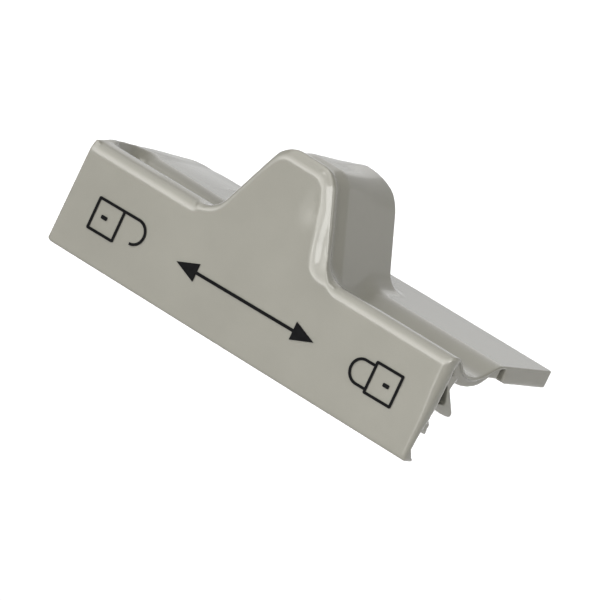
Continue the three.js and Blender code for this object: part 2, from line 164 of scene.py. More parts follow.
def smooth_min(a, b, k):
    """Union of two fields with a fillet of about k."""
    h = np.clip(0.5 + 0.5 * (b - a) / k, 0, 1)
    return b + (a - b) * h - k * h * (1 - h)


def smooth_max(a, b, k):
    """Intersection of two fields with an edge rounded by about k."""
    return -smooth_min(-a, -b, k)


def ease(value, low, high):
    """A smooth step from 0 at low to 1 at high."""
    t = np.clip((value - low) / (high - low), 0, 1)
    return t * t * (3 - 2 * t)


def hill(distance, width):
    return np.exp(-((distance / width) ** 2))


def outline_distance(u, v, points):
    """Signed distance to a closed outline, negative inside."""
    nearest = np.inf
    inside = np.zeros(np.broadcast(u, v).shape, bool)
    for (au, av), (bu, bv) in zip(points, np.roll(points, -1, axis=0), strict=True):
        eu, ev = bu - au, bv - av
        wu, wv = u - au, v - av
        t = np.clip((wu * eu + wv * ev) / (eu * eu + ev * ev), 0, 1)
        nearest = np.minimum(nearest, (wu - eu * t) ** 2 + (wv - ev * t) ** 2)
        crosses = (av > v) != (bv > v)
        side = (wu * ev - eu * wv) * (1 if ev > 0 else -1)
        inside ^= crosses & (side < 0)
    return np.where(inside, -1, 1) * np.sqrt(nearest)


def corner(a, b, radius):
    """Intersection of two fields whose edge has the given radius."""
    a, b = a + radius, b + radius
    return np.hypot(np.maximum(a, 0), np.maximum(b, 0)) + np.minimum(np.maximum(a, b), 0) - radius


def bevel(a, b, size, power=1.5):
    """Intersection of two fields whose edge is between a rounding and a flat bevel."""
    a, b = a + size, b + size
    edge = (np.maximum(a, 0) ** power + np.maximum(b, 0) ** power) ** (1 / power)
    return edge + np.minimum(np.maximum(a, b), 0) - size


def swept(outline, along, low, high, radius):
    """An outline's field swept between low and high, with both end edges rounded."""
    return corner(outline, np.abs(along - (low + high) / 2) - (high - low) / 2, radius)


def block(x, y, z, low, high, radius=0.4):
    """A box with rounded edges."""
    parts = [
        np.abs(p - (a + b) / 2) - (b - a) / 2 + radius
        for p, a, b in zip((x, y, z), low, high, strict=True)
    ]
    outside = np.sqrt(sum(np.maximum(p, 0) ** 2 for p in parts))
    return outside + np.minimum(np.maximum(np.maximum(*parts[:2]), parts[2]), 0) - radius


def rod(u, v, along, centre, radius, low, high, rounding=0.2):
    """A cylinder around centre in (u, v)."""
    return swept(np.hypot(u - centre[0], v - centre[1]) - radius, along, low, high, rounding)


# ---------------------------------------------------------------- outlines


def arc(centre, radius, start, end, steps=16):
    """Points on an arc, with its angles in degrees."""
    angles = np.radians(np.linspace(start, end, steps + 1))
    return [(centre[0] + radius * math.cos(a), centre[1] + radius * math.sin(a)) for a in angles]


def bezier(a, b, c, d, steps=28):
    t = np.linspace(0, 1, steps + 1)[:, None]
    a, b, c, d = map(np.array, (a, b, c, d))
    return list((1 - t) ** 3 * a + 3 * t * (1 - t) ** 2 * b + 3 * t * t * (1 - t) * c + t**3 * d)


def closed(points):
    """The outline without doubled points."""
    points = np.array([tuple(p) for p in points], float)
    keep = np.linalg.norm(points - np.roll(points, 1, axis=0), axis=1) > 1e-3
    return points[keep]


def cover_section():
    """Cross-section of the cover in (Y, Z)."""
    under_flange = flange_top - flange_thickness
    under_trough = trough_floor - trough_wall
    trough_middle = 15.2
    return closed([
        (4.6, -edge_overhang), (1.1, -edge_overhang),
        *arc((1.1, 1.1 - edge_overhang), 1.1, 270, 180, 6),
        *arc((ridge_radius, ridge_height - ridge_radius), ridge_radius, 180, 90),
        *bezier((ridge_radius, ridge_height), (5.6, ridge_height), (6, 27.6), (7.4, 26.4), 12),
        *bezier((7.4, 26.4), (9.6, 24.6), (11.6, trough_floor), (trough_middle, trough_floor)),
        *bezier(
            (trough_middle, trough_floor), (20.4, trough_floor),
            (22.4, flange_top - 0.15), (27, flange_top),
        ),
        *arc((depth - 0.7, flange_top - 0.7), 0.7, 90, 0, 6),
        *arc((depth - 0.9, under_flange + 0.9), 0.9, 0, -90, 6),
        (30.5, under_flange), (27.3, under_flange + 0.8), (22.9, under_flange + 0.8),
        *bezier(
            (22.9, under_flange + 0.8), (20.2, under_trough + 0.5),
            (17.2, under_trough), (14, under_trough), 16,
        ),
        *bezier(
            (14, under_trough), (9.6, under_trough),
            (7.4, under_trough + 0.4), (5.6, under_trough + 2.4), 16,
        ),
        # the rear side of the front plate, thinner towards its lower lip
        (4.9, 26.1), (4.2, 26.3), (3.9, 25.2), (4.1, 20.6), (3.95, 14.7),
        (3.4, 11.6), (2.4, 7.7), (1.88, 3.2), (3.67, 1.05), (4.8, 0.35),
    ])


def plan_field(x, y, z):
    """The cover's ends and rear. The upright edge at the right front is rounder towards its top."""
    right, left = x - half_length, -x - half_length
    front_right = 1.3 + 1.3 * ease(z, 8, 24)
    ends = np.maximum(corner(right, -y, front_right), corner(left, -y, 0.5))
    rear = np.maximum(corner(right, y - depth, 1.6), corner(left, y - depth, 7))
    lower_left = corner(left, -z - edge_overhang, 1.4)
    upper_left = corner(left, z - end_wall_top(y) - 0.15, 0.7)
    corners = np.maximum(lower_left, np.where(x < -40, upper_left, left))
    return np.maximum(np.maximum(ends, rear), corners)


def hump_outline(low, top, corner_radius, flared):
    """The hump from the front, in (X, Z). Its feet flare into the ridge or go straight down."""
    side = math.degrees(hump_side_angle)
    slope = math.tan(hump_side_angle)
    turn = math.tan((math.pi / 2 - hump_side_angle) / 2)
    shoulder = hump_half_width - (top - ridge_height) * slope - corner_radius * turn
    left_foot = hump_half_width + left_foot_radius * turn
    right_foot = hump_half_width + right_foot_radius * turn
    half_low = hump_half_width + (ridge_height - low) * slope
    left_low = (hump_centre - left_foot, ridge_height + left_foot_radius)
    right_low = (hump_centre + right_foot, ridge_height + right_foot_radius)
    return closed([
        (hump_centre - (left_foot if flared else half_low), low),
        *(arc(left_low, left_foot_radius, -90, -side, 12) if flared else []),
        *arc((hump_centre - shoulder, top - corner_radius), corner_radius, 180 - side, 90, 20),
        *arc((hump_centre + shoulder, top - corner_radius), corner_radius, 90, side, 20),
        *(arc(right_low, right_foot_radius, 180 + side, 270, 12) if flared else []),
        (hump_centre + (right_foot if flared else half_low), low),
    ])


SECTION = cover_section()
RIM = hump_outline(ridge_height - 6, rim_top, hump_corner_radius, True)
HUMP_FRONT = hump_outline(5, hump_top - 0.9, hump_corner_radius, False)
HUMP_BACK = hump_outline(5, hump_top, hump_corner_radius + 8, False)
# the hooked rail, its hollow core and the nib below it, in (Y, Z)
HOOK = np.array([
    (3.4, 24), (8.4, 23), (7.2, 19.8), (13.6, 13.6), (13.4, 12.4), (11.5, 12.6), (8, 13.2), (3.4, 14.6),
])
HOOK_CORE = np.array([(4.15, 21.3), (6, 20.2), (8.5, 16.1), (8.2, 15.6), (4.05, 15.7)])
NIB = np.array([(2.8, 12), (3.5, 11.6), (5.5, 9.8), (5.1, 8.8), (5.66, 7.6), (5.1, 7.3), (1.8, 8)])


def flange_lift(x, y):
    """How far the top stands off its plain section.

    The trough and flange swell at the left, where the ridge's crest is higher too. The left rear
    corner droops, and the rear edge stands higher, most of all at the right.
    """
    back = np.clip((y - 27) / 24, 0, 1)
    swell = left_trough_rise * ease(-x, 25, 50) * ease(y, 16, 24)
    droop = left_corner_droop * back**2 * ease(-x, 44, 60)
    crest = left_crest_rise * ease(-x, 12, 24) * hill(y - 6.5, 3)
    return swell + crest - droop + rear_edge_rise * back + right_rear_rise * back * ease(x, -20, 20)


def end_wall_top(y):
    """Height of the left end wall along its length."""
    return end_wall_height + 0.6 * ease(y, 2, 9) * ease(-y, -22, -12) - 1.1 * ease(y, 22, 52)


def rim_field(x, y, z):
    """The bell-shaped front of the hump. Its rim is narrow at the left and widest at its right foot."""
    outline = outline_distance(x, z, RIM)
    foot = hump_centre + hump_half_width - 2
    widening = 2.2 * hill(np.hypot(x - foot, z - ridge_height - 4.5), 7)
    radius = rim_radius - 1.3 * ease(hump_centre - x, 3, 11) + widening
    return np.maximum(bevel(outline, -y, radius), corner(outline, y - rim_depth, 1.1))


def channel_field(x, y, z, raised):
    """The cover's channel and its left end wall. Raised is z without the top's lift and thickening."""
    # the trough is narrower at the left
    shifted = y + left_trough_shift * ease(-x, 12, 32) * ease(y, 13, 20) * ease(-y, -40, -28)
    section = outline_distance(shifted, raised, SECTION)
    # the left end wall, whose inner face runs out into the trough
    wall_top = end_wall_top(y)
    thickness = 0.9 + np.clip(0.35 * (wall_top - z), 0, 2.1)
    wall_outline = block(0 * x, y, z, (-1, 1, 3), (1, depth - 2, 32), 0.8)
    wall = np.maximum(x + half_length - thickness, wall_outline)
    wall = np.maximum(wall, z - wall_top)
    return smooth_min(section, wall, 1 + 4.5 * ease(z, 18, 24) * ease(y, 4, 9))


def hump_body_outline(x, y, z):
    """The hump's outline, whose shoulders grow rounder towards the back."""
    front = outline_distance(x, z, HUMP_FRONT)
    return front + ease(y, 6, hump_rear) * (outline_distance(x, z, HUMP_BACK) - front)


def hump_field(y, z, body_outline):
    """The hump behind its rim, with the valley between them."""
    inset = hump_inset + valley_depth * ease(y, 3, 5) * ease(-y, -10.5, -5.5)
    floor = trough_floor - 0.1 - z
    body = corner(body_outline + inset, y - hump_rear, 1.3)
    sloped_top = corner(z - hump_top + hump_inset, y - hump_rear, hump_rear_slope)
    return np.maximum(np.maximum(np.maximum(body, sloped_top), 2 - y), floor)


def open_end_cuts(x, y, z, raised):
    """What the open right end lacks: it stands back behind a thin rim along its top, and has a slot."""
    lowered = outline_distance(y, raised + 0.8, SECTION)
    recess = np.maximum(lowered, half_length - end_recess - x)
    recess = np.maximum(recess, np.maximum(4.6 - y, y - slot_rear))
    slot = block(x, y, z, (half_length - 9, slot_front, 21), (half_length + 1, slot_rear, 27.1), 0.3)
    return np.minimum(recess, slot)


def rail_and_nib(x, y, z):
    """The hooked rail and the nib inside the open end, behind the front plate."""
    rail = np.maximum(outline_distance(y, z, HOOK), -outline_distance(y, z, HOOK_CORE))
    rail = swept(rail + 0 * x, x, half_length - rail_length, half_length - 0.6, 0.25)
    nib = outline_distance(y, z, NIB) + 0 * x
    nib = swept(nib, x, half_length - nib_length, half_length - 0.4, 0.25)
    return np.minimum(rail, nib)


def cover_field(x, y, z):
    lifted = z - flange_lift(x, y)
    body_outline = hump_body_outline(x, y, z)
    # the trough and the flange are thicker at the open end
    middle = 22.9 + 3.1 * ease(y, 17, 25)
    below_middle = ease(middle - z, -0.8, 0.8)
    raised = lifted + open_end_thickening * ease(x, 42, 52) * ease(y, 5, 8) * below_middle
    outer = smooth_min(channel_field(x, y, z, raised), hump_field(y, z, body_outline), 4.5)
    outer = np.maximum(smooth_min(outer, rim_field(x, y, z), 0.8), -y)
    # a sink mark in the face, where the rim is thickest behind it
    sink = sink_depth * hill(x - 7, 3) * hill(z - 43, 5) * hill(y, 2)
    outer = smooth_max(outer + sink, plan_field(x, y, z), 0.5)
    hollow = swept(np.maximum(body_outline + hump_wall, 10 - z), y, 4.9, hump_rear - hump_wall + 1, 1)
    outer = smooth_max(outer, -hollow, 0.5)
    outer = smooth_max(outer, -open_end_cuts(x, y, z, raised), 0.25)
    # ledges that the drive block's arms snap over
    for side in (-1, 1):
        ledge_middle = hump_centre + side * 12
        ledge_low = (ledge_middle - 3.3, 14.4, 29.8)
        ledge_high = (ledge_middle + 3.3, 24.4, ledge_top)
        ledge = block(x, y, z, ledge_low, ledge_high, 0.3)
        outer = smooth_min(outer, ledge, 0.5)
    return smooth_min(outer, rail_and_nib(x, y, z), 0.5)


# ---------------------------------------------------------------- the mechanism under the cover


# each CAD node's lowest and highest corners in the cover's frame, in millimetres
NODE_BOX = {
    name: [np.array(end - cover_corner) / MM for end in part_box(name)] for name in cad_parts
}


def node_middle(name):
    low, high = NODE_BOX[name]
    return (low + high) / 2


def screw_thread(x, y, z, pitch, depth_of_thread):
    """How far a thread around the Z axis stands below its crest."""
    turn = np.arctan2(y, x) / (2 * math.pi) + z / pitch
    return depth_of_thread * np.abs(2 * (turn - np.floor(turn)) - 1)


def hexagon(u, v, half_width):
    """A hexagon's field around the origin, by its half width across flats."""
    flats = [np.abs(u * math.cos(a) + v * math.sin(a)) for a in np.radians((0, 60, 120))]
    return np.maximum(np.maximum(flats[0], flats[1]), flats[2]) - half_width


BASE_SECTION = closed([
    (5.7, -1), (5.7, 21.2), (14.6, 21.2),
    *bezier((14.6, 21.2), (17.8, 21.2), (20.6, 22), (23, 23.6), 12),
    (46, 23.6), (47, 22.6), (47, -1),
])


def base_field(x, y, z):
    low, high = NODE_BOX["guide_base"]
    bolt = node_middle("locking_bolt")
    plate_low, plate_high = NODE_BOX["bottom_plate"]
    plate_gap = 0.2
    recess_low = (plate_low[0] - plate_gap, plate_low[1] - plate_gap, below_base)
    recess_high = (plate_high[0] + plate_gap, plate_high[1] + plate_gap, 0.75)
    inserts = [node_middle(f"thread_insert_{n}") for n in (1, 2)]
    body = swept(outline_distance(y, z, BASE_SECTION) + 0 * x, x, low[0], 35, 0.5)
    notch = block(x, y, z, (30, 36.5, -3), (37, 49, 26), 0.8)
    body = smooth_max(body, -notch, 0.5)
    nose_outline = block(0 * x, y, z, (-1, bolt[1] - 7.4, 1.4), (1, bolt[1] + 7.4, 17.8), 2.5)
    nose = swept(nose_outline, x, 30, high[0], 0.5)
    body = smooth_min(body, nose, 0.8)
    # the drive chamber, the plate's seat, the arms' slot, two lightening pockets and the bolt's bore
    pockets = [
        block(x, y, z, (-14.6, 10, below_base), (26.6, 32, 18.8), 0.8),
        block(x, y, z, recess_low, recess_high, 0.6),
        block(x, y, z, (hump_centre - 8.8, 13.4, 16), (hump_centre + 22.8, 24.6, 26), 0.7),
        block(x, y, z, (-14.6, 37.4, below_base), (-2.6, 44.6, 20.8), 0.9),
        block(x, y, z, (-0.6, 37.4, below_base), (11, 44.6, 20.8), 0.9),
        rod(y, z, x, bolt[1:], bush_radius + 2 * bore_clearance, 25, high[0] + 2),
    ]
    for left in (-40, -29.4):
        for front in (10, 21.8, 33.6):
            pocket_high = (left + 8.6, front + 9.8, 18.8)
            pockets.append(block(x, y, z, (left, front, below_base), pocket_high, 0.9))
    for pocket in pockets:
        body = smooth_max(body, -pocket, 0.3)
    boss = rod(x, y, z, inserts[0][:2], 5.6, low[2], 19.8, 0.4)
    body = smooth_min(body, boss, 0.5)
    for insert in inserts:
        bore = rod(x, y, z, insert[:2], insert_radius + bore_clearance, below_base, 7.2)
        body = smooth_max(body, -bore, 0.25)
    return body


def plate_field(x, y, z):
    low, high = NODE_BOX["bottom_plate"]
    plate = block(x, y, z, low, high, 0.3)
    # a shallow panel, and the countersunk holes of its four screws
    border = 4.5
    panel_low = (low[0] + border, low[1] + border, low[2] - 2)
    panel_high = (high[0] - border, high[1] - border, low[2] + 0.3)
    panel = block(x, y, z, panel_low, panel_high, 0.3)
    plate = smooth_max(plate, -panel, 0.2)
    for n in (1, 2, 3, 4):
        middle = node_middle(f"plate_screw_{n}")
        wide = rod(x, y, z, middle[:2], 2.05, low[2] - 2, low[2] + 1.25, 0.1)
        narrow = rod(x, y, z, middle[:2], 1.15, low[2] - 2, high[2] + 2, 0.1)
        plate = smooth_max(plate, -np.minimum(wide, narrow), 0.15)
    return plate


def screw_field(node, head_radius, head_height, along):
    """A screw whose head is at its low end along the axis given, with a hexagon socket."""
    low, high = NODE_BOX[node]
    middle = (low + high) / 2
    others = [axis for axis in range(3) if axis != along]

    def field(x, y, z):
        place = (x, y, z)
        u, v = (place[axis] - middle[axis] for axis in others)
        w = place[along] - low[along]
        shank_end = high[along] - low[along]
        crest = 0.9 - screw_thread(u, v, w, 0.7, 0.18)
        shank = corner(np.hypot(u, v) - crest, w - shank_end, 0.3)
        head = swept(np.hypot(u, v) - head_radius, w, 0, head_height, 0.25)
        socket = np.maximum(hexagon(u, v, 0.62), w - 0.6 * head_height)
        return smooth_max(smooth_min(np.maximum(shank, 0.3 - w), head, 0.15), -socket, 0.08)

    return field


def insert_field(node):
    """A brass insert: knurled in two bands, with a thread in its bore."""
    low, high = NODE_BOX[node]
    middle = (low + high) / 2

    def field(x, y, z):
        u, v, w = x - middle[0], y - middle[1], z - low[2]
        radius, angle = np.hypot(u, v), np.arctan2(v, u)
        knurl = 0.13 * (np.abs(np.sin(12 * angle + 2.6 * w)) + np.abs(np.sin(12 * angle - 2.6 * w)))
        groove = 0.4 * hill(w - 4.1, 0.75)
        outer = swept(radius - insert_radius + knurl + groove, w, 0, high[2] - low[2], 0.2)
        bore = insert_bore_radius - screw_thread(u, v, w, 0.8, 0.25) - radius
        return smooth_max(outer, bore, 0.1)

    return field


def bush_field(x, y, z):
    low, high = NODE_BOX["bolt_bush"]
    middle = (low + high) / 2
    radius = np.hypot(y - middle[1], z - middle[2])
    shell = swept(radius - bush_radius, x, low[0], high[0] - 0.5, 0.3)
    flange = swept(radius - bush_flange_radius, x, high[0] - 1, high[0], 0.3)
    return smooth_max(smooth_min(shell, flange, 0.3), bolt_radius + 0.25 - radius, 0.4)


def spring_outline():
    """The leaf spring from above, in (X, Y): feet on the wall, two slopes, and a nose in the notch."""
    wall, clear, nose = 31.7, 29.3, 27.6
    return [
        (-13.4, wall), (-7.6, wall), (-6.6, wall - 0.12), (-1.7, clear + 0.2), (-0.7, clear),
        (detent_place - 2.6, clear), (detent_place - 0.8, nose + 0.4), (detent_place, nose),
        (detent_place + 0.8, nose + 0.4), (detent_place + 2.6, clear),
        (12.7, clear), (13.6, clear + 0.2), (18.4, wall - 0.12), (19.4, wall), (24.6, wall),
    ]


def strip_distance(u, v, path):
    """Distance to an open path."""
    nearest = np.inf
    for (au, av), (bu, bv) in zip(path[:-1], path[1:], strict=True):
        eu, ev = bu - au, bv - av
        wu, wv = u - au, v - av
        t = np.clip((wu * eu + wv * ev) / (eu * eu + ev * ev), 0, 1)
        nearest = np.minimum(nearest, (wu - eu * t) ** 2 + (wv - ev * t) ** 2)
    return np.sqrt(nearest)


def spring_field(x, y, z):
    low, high = NODE_BOX["detent_spring"]
    strip = strip_distance(x, y, spring_outline()) - spring_thickness / 2
    strip = np.maximum(strip, np.maximum(low[0] - x, x - high[0]))
    strip = swept(strip + 0 * z, z, low[2], high[2], 0.12)
    return smooth_max(strip, -rod(x, z, y, node_middle("detent_screw")[::2], 1.2, 20, 40), 0.1)


def drive_field(x, y, z):
    low, high = NODE_BOX["drive_block"]
    bolt = node_middle("locking_bolt")
    body = block(x, y, z, low, (high[0], high[1], 18.4), 0.7)
    for side in (-1, 1):
        catch = ledge_top + 0.4
        arm = closed([
            (8.2, 15), (8.2, catch), (9.5, catch), (9.5, ledge_top + 1.2),
            (6.6, high[2]), (4.8, high[2]), (4.8, 15),
        ])
        across = side * (x - hump_centre)
        body = smooth_min(body, swept(outline_distance(across, z, arm), y, 14, 24, 0.5), 1.0)
    # two notches for the spring's nose, lightening pockets in front, and the bores of bolt and pin
    for place in (detent_place, detent_place - slide_travel):
        notch = high[1] + 0.2 - y - notch_slope * np.abs(x - place)
        body = smooth_max(body, np.where(np.abs(x - place) < 4, 2.1 - notch, -9), 0.3)
    for middle in (-9.5, 7.5):
        pocket = block(x, y, z, (middle - 3, low[1] - 2, 15.2), (middle + 3, low[1] + 1.2, 17.2), 0.3)
        body = smooth_max(body, -pocket, 0.2)
    bolt_end = NODE_BOX["locking_bolt"][0][0]
    bolt_bore = rod(y, z, x, bolt[1:], bolt_radius + bore_clearance, bolt_end - 0.3, high[0] + 3)
    pin_middle = node_middle("bolt_pin")[:2]
    pin_bore = rod(x, y, z, pin_middle, pin_radius + bore_clearance, low[2] - 2, 15.6)
    return smooth_max(body, -np.minimum(bolt_bore, pin_bore), 0.3)


def bolt_field(x, y, z):
    low, high = NODE_BOX["locking_bolt"]
    middle = (low + high) / 2
    radius = np.hypot(y - middle[1], z - middle[2])
    body = corner(radius - bolt_radius, low[0] - x, 0.5)
    nose = np.maximum(body, 0.78 * (x - high[0]) + 0.62 * (radius - 2.8))
    nose = smooth_max(nose, x - high[0], 0.4)
    # the groove that a grinding wheel leaves behind the nose
    nose = nose + 0.12 * hill(x - high[0] + 4.5, 0.35)
    pin_bore = rod(x, y, z, (0, middle[1]), pin_radius + bore_clearance, -5, 30)
    return smooth_max(nose, -pin_bore, 0.15)


def pin_field(x, y, z):
    low, high = NODE_BOX["bolt_pin"]
    middle = (low + high) / 2
    return swept(np.hypot(x - middle[0], y - middle[1]) - pin_radius, z, low[2], high[2], 0.4)


# ---------------------------------------------------------------- meshes from fields


def gradient(field, points, step=0.02):
    slopes = []
    for axis in range(3):
        ahead, behind = points.copy(), points.copy()
        ahead[:, axis] += step
        behind[:, axis] -= step
        slopes.append((field(*ahead.T) - field(*behind.T)) / (2 * step))
    return np.stack(slopes, axis=1)


def draw_to_surface(field, points, longest):
    """Moves points onto the field's zero surface, none by more than longest."""
    slope = gradient(field, points)
    square = np.maximum((slope**2).sum(axis=1), 0.05)
    move = slope * (field(*points.T) / square)[:, None]
    size = np.linalg.norm(move, axis=1, keepdims=True)
    return points - move * np.minimum(1, longest / np.maximum(size, 1e-9))


def grid_lines(low, high, cell):
    return np.arange(low - 2 * cell, high + 3 * cell, cell)


def surface_quads(inside, number):
    """Quads across the grid's edges that cross the surface, by the numbers of the cells around them."""
    quads = []
    for axis in range(3):
        u, v = (axis + 1) % 3, (axis + 2) % 3
        lower = np.take(inside, range(inside.shape[axis] - 1), axis)
        upper = np.take(inside, range(1, inside.shape[axis]), axis)
        at = np.stack(np.nonzero(lower != upper), axis=1)
        outward = lower[tuple(at.T)]
        ring = []
        for du, dv in ((-1, -1), (0, -1), (0, 0), (-1, 0)):
            cell_at = at.copy()
            cell_at[:, u] += du
            cell_at[:, v] += dv
            ring.append(number[tuple(cell_at.T)])
        ring = np.stack(ring, axis=1)
        quads.append(np.where(outward[:, None], ring, ring[:, ::-1]))
    return np.concatenate(quads)


def evened(field, points, quads, longest):
    """The points moved towards the middle of their neighbours and back onto the surface, twice."""
    edges = np.concatenate([quads[:, [i, (i + 1) % 4]] for i in range(4)])
    ends = np.concatenate([edges[:, 0], edges[:, 1]])
    others = np.concatenate([edges[:, 1], edges[:, 0]])
    valence = np.bincount(ends, minlength=len(points))[:, None]
    for _ in range(2):
        total = np.stack([np.bincount(ends, points[others, n], len(points)) for n in range(3)], axis=1)
        points = draw_to_surface(field, points + 0.6 * (total / valence - points), longest)
    return points


def wrap(field, axes, cell):
    """Vertices and quads of an even mesh on the field's zero surface, on the grid lines given."""
    shape = tuple(len(a) for a in axes)
    inside = np.broadcast_to(field(*np.ix_(*axes)) < 0, shape)
    number = np.full([n - 1 for n in shape], -1)
    count = sum(
        inside[i : shape[0] - 1 + i, j : shape[1] - 1 + j, k : shape[2] - 1 + k].astype(int)
        for i in (0, 1) for j in (0, 1) for k in (0, 1)
    )
    mixed = (count > 0) & (count < 8)
    number[mixed] = np.arange(mixed.sum())
    centres = [(lines[1:] + lines[:-1]) / 2 for lines in axes]
    points = np.stack([centres[n][index] for n, index in enumerate(np.nonzero(mixed))], axis=1)
    quads = surface_quads(inside, number)
    for longest in (cell, cell / 2):
        points = draw_to_surface(field, points, longest)
    return evened(field, points, quads, cell / 4), quads


def field_piece(name, field, axes, cell):
    """A smooth mesh object on the field's zero surface, in the row frame."""
    points, quads = wrap(field, axes, cell)
    mesh = bpy.data.meshes.new(name)
    mesh.from_pydata((np.array(cover_corner) + points * MM).tolist(), [], quads.tolist())
    mesh.shade_smooth()
    piece = bpy.data.objects.new(name, mesh)
    scene.collection.objects.link(piece)
    return piece


# ---------------------------------------------------------------- materials

bump_depth = 0.02 * MM


def new_material(name):
    material = bpy.data.materials.new(name)
    material.use_nodes = True
    return material, material.node_tree.nodes, material.node_tree.links


def noise(nodes, links, coordinates, scale, detail=3):
    texture = nodes.new("ShaderNodeTexNoise")
    texture.inputs["Scale"].default_value = scale
    texture.inputs["Detail"].default_value = detail
    links.new(coordinates, texture.inputs["Vector"])
    return texture.outputs["Fac"]


def vary(nodes, links, factor, low, high):
    """A number that follows a noise between low and high."""
    ranged = nodes.new("ShaderNodeMapRange")
    ranged.inputs["From Min"].default_value = 0.3
    ranged.inputs["From Max"].default_value = 0.7
    ranged.inputs["To Min"].default_value = low
    ranged.inputs["To Max"].default_value = high
    links.new(factor, ranged.inputs["Value"])
    return ranged.outputs["Result"]


def mottle(nodes, links, factor, dark, light):
    """A colour that follows a noise between two colours."""
    ramp = nodes.new("ShaderNodeValToRGB")
    ramp.color_ramp.elements[0].position = 0.3
    ramp.color_ramp.elements[1].position = 0.7
    ramp.color_ramp.elements[0].color = (*dark, 1)
    ramp.color_ramp.elements[1].color = (*light, 1)
    links.new(factor, ramp.inputs["Fac"])
    return ramp.outputs["Color"]


def shades(colour, spread):
    """The colour a little darker and a little lighter."""
    return [c * (1 - spread) for c in colour], [c * (1 + spread) for c in colour]


def add_bump(nodes, links, shader, height, distance):
    bump = nodes.new("ShaderNodeBump")
    bump.inputs["Distance"].default_value = distance
    bump.inputs["Strength"].default_value = 1
    links.new(height, bump.inputs["Height"])
    links.new(bump.outputs["Normal"], shader.inputs["Normal"])


def moulded_plastic(name, colour, roughness, coat, coat_roughness):
    """Injection-moulded plastic: faint flow mottling, uneven gloss and a fine orange peel."""
    material, nodes, links = new_material(name)
    shader = nodes["Principled BSDF"]
    place = nodes.new("ShaderNodeTexCoord").outputs["Object"]
    cloud = noise(nodes, links, place, 60)
    peel = noise(nodes, links, place, 700, 2)
    links.new(mottle(nodes, links, cloud, *shades(colour, 0.025)), shader.inputs["Base Color"])
    links.new(vary(nodes, links, cloud, roughness - 0.02, roughness + 0.03), shader.inputs["Roughness"])
    shader.inputs["Specular IOR Level"].default_value = 0.6
    shader.inputs["Coat Weight"].default_value = coat
    shader.inputs["Coat Roughness"].default_value = coat_roughness
    add_bump(nodes, links, shader, peel, bump_depth)
    return material


def brushed_metal(name, colour, roughness, scale):
    """Worked metal: fine streaks across the piece's length, and patches of duller surface."""
    material, nodes, links = new_material(name)
    shader = nodes["Principled BSDF"]
    shader.inputs["Metallic"].default_value = 1
    place = nodes.new("ShaderNodeTexCoord").outputs["Object"]
    stretched = nodes.new("ShaderNodeMapping")
    stretched.inputs["Scale"].default_value = (scale, 1, 1)
    links.new(place, stretched.inputs["Vector"])
    streaks = noise(nodes, links, stretched.outputs["Vector"], 90, 4)
    patches = noise(nodes, links, place, 180)
    links.new(mottle(nodes, links, patches, *shades(colour, 0.1)), shader.inputs["Base Color"])
    links.new(vary(nodes, links, streaks, roughness - 0.06, roughness + 0.1), shader.inputs["Roughness"])
    add_bump(nodes, links, shader, streaks, bump_depth)
    return material


def printed_ink(name):
    """Matt black pad-printing ink, a little uneven."""
    material, nodes, links = new_material(name)
    shader = nodes["Principled BSDF"]
    place = nodes.new("ShaderNodeTexCoord").outputs["Object"]
    grain = noise(nodes, links, place, 900)
    black = mottle(nodes, links, grain, (0.006, 0.006, 0.0065), (0.011, 0.011, 0.0115))
    links.new(black, shader.inputs["Base Color"])
    links.new(vary(nodes, links, grain, 0.4, 0.55), shader.inputs["Roughness"])
    shader.inputs["Specular IOR Level"].default_value = 0.12
    return material


# ---------------------------------------------------------------- pieces

coarse = 1


def add_piece(name, field, node, body, material, cell, lines_along_x=None):
    """A piece in the place of one CAD node, riding on that node's body."""
    low, high = NODE_BOX[node]
    axes = [grid_lines(low[n], high[n] + 1, cell * coarse) for n in range(3)]
    if lines_along_x is not None:
        axes[0] = lines_along_x
    piece = field_piece(name, field, axes, cell * coarse)
    piece.data.materials.append(material)
    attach(piece, body)
    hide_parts(node)


def add_cover():
    plastic = moulded_plastic("cover_gloss", (0.245, 0.239, 0.208), 0.22, 1, 0.12)
    # the grid is finer at the two ends and across the hump than along the plain stretches
    stretches = ((-61, -50, 0.5), (-50, -26, 0.8), (-26, 24, 0.5), (24, 54, 0.8), (54, 61, 0.35))
    lines = np.concatenate([
        np.arange(start, end - 0.1, step * coarse) for start, end, step in stretches
    ])
    add_piece(
        "slide_cover_shell", cover_field, "slide_cover", "slider", plastic,
        cell=0.48, lines_along_x=lines,
    )


